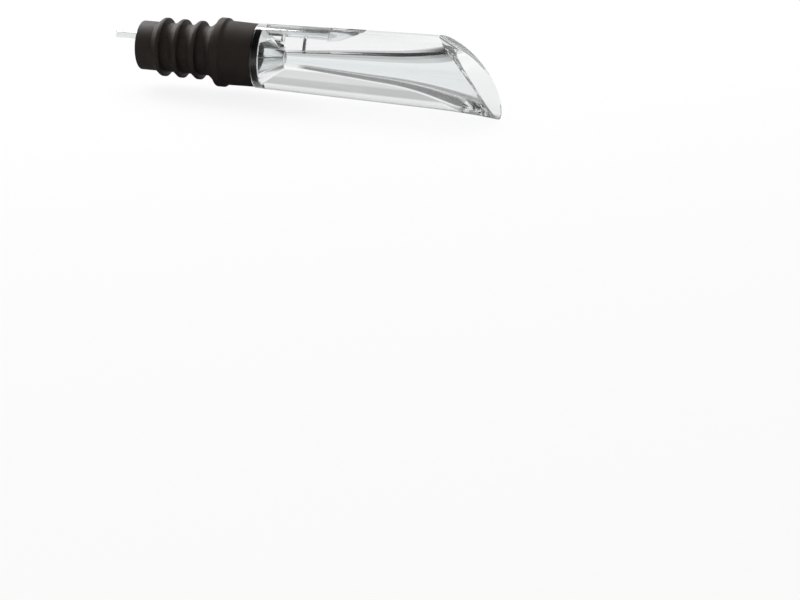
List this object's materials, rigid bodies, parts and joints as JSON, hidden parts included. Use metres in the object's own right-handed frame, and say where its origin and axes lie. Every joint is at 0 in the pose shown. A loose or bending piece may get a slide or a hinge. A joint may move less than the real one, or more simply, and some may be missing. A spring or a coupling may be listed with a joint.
{
  "type": "wine aerator pourer",
  "caption": "Bottle-top wine aerator pourer: ribbed rubber stopper, clear turned body with a flared slanted lip, covered air channel, steel air jet and vent tube.",
  "frame": {"origin": "centre of the stopper's face that sits on the bottle's rim", "axes": "+X along the pour towards the lip, +Z towards the air intake side, which is up while pouring"},
  "size_m": [0.1331, 0.0254, 0.0255],
  "materials": {
    "stopper_rubber": "matte",
    "clear_acrylic": "polished, clear",
    "clear_tube": "clear",
    "seal_rubber": "satin",
    "jet_steel": "fine drawn"
  },
  "bodies": {
    "stopper": {"stopper": "stopper_rubber"},
    "nozzle": {"inlet_nozzle": "clear_acrylic", "vent_tube": "clear_tube", "seal_ring": "seal_rubber"},
    "spout": {"pour_body": "clear_acrylic", "channel_cover": "clear_acrylic", "air_jet": "jet_steel"}
  },
  "joints": [
    {"name": "spout_turn", "type": "hinge", "parent": "stopper", "child": "nozzle", "pos_m": [0, 0, 0], "axis": [1, 0, 0], "continuous": true},
    {"name": "shell_pull", "type": "slide", "parent": "nozzle", "child": "spout", "axis": [1, 0, 0], "range_m": [0, 0.015]}
  ]
}
